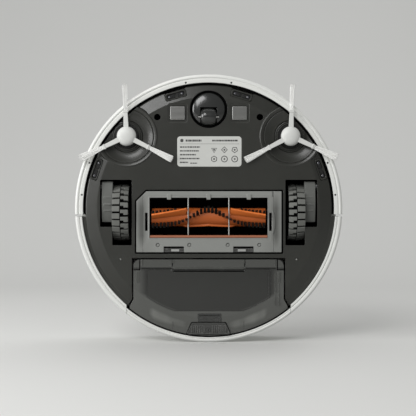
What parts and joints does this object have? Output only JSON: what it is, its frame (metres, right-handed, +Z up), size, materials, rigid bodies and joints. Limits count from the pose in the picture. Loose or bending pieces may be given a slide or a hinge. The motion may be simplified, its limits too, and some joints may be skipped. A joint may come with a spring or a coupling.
{
  "type": "robot vacuum",
  "caption": "Round floor-cleaning robot with sprung drive wheels, caster, side brushes, main brush under a hinged cover, rear dust bin, bumper and laser turret.",
  "frame": {"origin": "centre of the footprint on the floor", "axes": "+Z up with the wheels standing on z=0, -Y is the front (bumper and caster), +Y is the rear (dust bin)"},
  "size_m": [0.35, 0.35, 0.096],
  "materials": {
    "charcoal_shell": "satin",
    "white_shell": "satin",
    "black_plastic": "satin",
    "pale_plastic": "matte",
    "grey_cover": "satin",
    "orange_rubber": "satin",
    "tyre_rubber": "matte",
    "steel": "satin",
    "smoky_clear": "gloss",
    "circuit_board": "satin"
  },
  "bodies": {
    "chassis": {"chassis_base": "charcoal_shell", "rating_label": "pale_plastic", "charging_contact_left": "steel", "charging_contact_right": "steel", "cliff_sensor_front_left": "black_plastic", "cliff_sensor_front_right": "black_plastic", "cliff_sensor_side_left": "black_plastic", "cliff_sensor_side_right": "black_plastic", "side_band_left": "white_shell", "side_band_right": "white_shell", "top_shell": "white_shell", "lidar_base": "grey_cover", "lidar_cap": "white_shell", "battery_pack": "black_plastic", "main_board": "circuit_board", "fan_housing": "black_plastic", "brush_chamber": "black_plastic", "brush_gearmotor": "charcoal_shell", "side_brush_motor_left": "black_plastic", "side_brush_motor_right": "black_plastic", "wheel_well_left": "black_plastic", "wheel_well_right": "black_plastic", "suspension_pin_left": "steel", "suspension_pin_right": "steel", "caster_socket": "black_plastic", "main_brush_bearing": "charcoal_shell"},
    "bumper_ring": {"bumper": "white_shell"},
    "power_key": {"power_button": "pale_plastic"},
    "home_key": {"home_button": "pale_plastic"},
    "lidar_rotor": {"lidar_spinner": "black_plastic"},
    "fan_rotor": {"fan_impeller": "pale_plastic"},
    "drive_left": {"wheel_arm_left": "charcoal_shell", "suspension_spring_left": "steel"},
    "drive_right": {"wheel_arm_right": "charcoal_shell", "suspension_spring_right": "steel"},
    "wheel_left": {"wheel_hub_left": "charcoal_shell", "tyre_left": "tyre_rubber"},
    "wheel_right": {"wheel_hub_right": "charcoal_shell", "tyre_right": "tyre_rubber"},
    "caster_swivel": {"caster_housing": "black_plastic", "caster_axle": "steel"},
    "caster_roller": {"caster_wheel": "black_plastic"},
    "sweeper_left": {"side_brush_left": "white_shell"},
    "sweeper_right": {"side_brush_right": "white_shell"},
    "main_brush": {"main_brush_core": "black_plastic", "main_brush_sleeve": "orange_rubber"},
    "cover": {"brush_cover": "grey_cover", "guard_wire_left": "steel", "guard_wire_right": "steel", "scraper_strip": "orange_rubber"},
    "latch_left": {"cover_latch_left": "grey_cover"},
    "latch_right": {"cover_latch_right": "grey_cover"},
    "dust_bin": {"dust_bin_shell": "smoky_clear", "bin_facade": "white_shell", "filter_frame": "charcoal_shell", "filter_pleats": "pale_plastic"},
    "dust_door": {"bin_door": "smoky_clear"},
    "bin_button": {"bin_latch": "smoky_clear"}
  },
  "joints": [
    {"name": "bumper_press", "type": "slide", "parent": "chassis", "child": "bumper_ring", "axis": [0, 1, 0], "range_m": [0, 0.0025], "stiffness_N_per_m": 600, "springref_m": -0.003},
    {"name": "power_press", "type": "slide", "parent": "chassis", "child": "power_key", "axis": [0, 0, -1], "range_m": [0, 0.0012], "stiffness_N_per_m": 300, "springref_m": -0.002},
    {"name": "home_press", "type": "slide", "parent": "chassis", "child": "home_key", "axis": [0, 0, -1], "range_m": [0, 0.0012], "stiffness_N_per_m": 300, "springref_m": -0.002},
    {"name": "lidar_spin", "type": "hinge", "parent": "chassis", "child": "lidar_rotor", "pos_m": [0, 0.022, 0.084], "axis": [0, 0, 1], "continuous": true},
    {"name": "fan_spin", "type": "hinge", "parent": "chassis", "child": "fan_rotor", "pos_m": [0, 0.025, 0.062], "axis": [0, 0, 1], "continuous": true},
    {"name": "suspension_left", "type": "hinge", "parent": "chassis", "child": "drive_left", "pos_m": [-0.132, -0.028, 0.018], "axis": [-1, 0, 0], "range_deg": [0, 28], "stiffness_Nm_per_rad": 0.1, "springref_deg": 85.94},
    {"name": "wheel_spin_left", "type": "hinge", "parent": "drive_left", "child": "wheel_left", "pos_m": [-0.115, 0.0055, 0.0375], "axis": [1, 0, 0], "continuous": true},
    {"name": "side_brush_spin_left", "type": "hinge", "parent": "chassis", "child": "sweeper_left", "pos_m": [-0.1068, -0.0937, 0.01], "axis": [0, 0, 1], "continuous": true},
    {"name": "suspension_right", "type": "hinge", "parent": "chassis", "child": "drive_right", "pos_m": [0.132, -0.028, 0.018], "axis": [-1, 0, 0], "range_deg": [0, 28], "stiffness_Nm_per_rad": 0.1, "springref_deg": 85.94},
    {"name": "wheel_spin_right", "type": "hinge", "parent": "drive_right", "child": "wheel_right", "pos_m": [0.115, 0.0055, 0.0375], "axis": [1, 0, 0], "continuous": true},
    {"name": "side_brush_spin_right", "type": "hinge", "parent": "chassis", "child": "sweeper_right", "pos_m": [0.1068, -0.0937, 0.01], "axis": [0, 0, 1], "continuous": true},
    {"name": "caster_swivel", "type": "hinge", "parent": "chassis", "child": "caster_swivel", "pos_m": [0, -0.129, 0.012], "axis": [0, 0, 1], "continuous": true},
    {"name": "caster_roll", "type": "hinge", "parent": "caster_swivel", "child": "caster_roller", "pos_m": [0, -0.119, 0.0115], "axis": [1, 0, 0], "continuous": true},
    {"name": "main_brush_spin", "type": "hinge", "parent": "chassis", "child": "main_brush", "pos_m": [0, 0.012, 0.024], "axis": [1, 0, 0], "continuous": true},
    {"name": "cover_swing", "type": "hinge", "parent": "chassis", "child": "cover", "pos_m": [0, -0.0208, 0.01], "axis": [-1, 0, 0], "range_deg": [0, 85]},
    {"name": "cover_latch_press_left", "type": "slide", "parent": "cover", "child": "latch_left", "axis": [0, -1, 0], "range_m": [0, 0.0016], "stiffness_N_per_m": 400, "springref_m": -0.002},
    {"name": "cover_latch_press_right", "type": "slide", "parent": "cover", "child": "latch_right", "axis": [0, -1, 0], "range_m": [0, 0.0016], "stiffness_N_per_m": 400, "springref_m": -0.002},
    {"name": "bin_pull", "type": "slide", "parent": "chassis", "child": "dust_bin", "axis": [0, 1, 0], "range_m": [0, 0.12]},
    {"name": "bin_door_swing", "type": "hinge", "parent": "dust_bin", "child": "dust_door", "pos_m": [0, 0.0812, 0.0111], "axis": [-1, 0, 0], "range_deg": [0, 80]},
    {"name": "bin_latch_press", "type": "slide", "parent": "dust_bin", "child": "bin_button", "axis": [0, 0, 1], "range_m": [0, 0.0012], "stiffness_N_per_m": 500, "springref_m": -0.002}
  ]
}
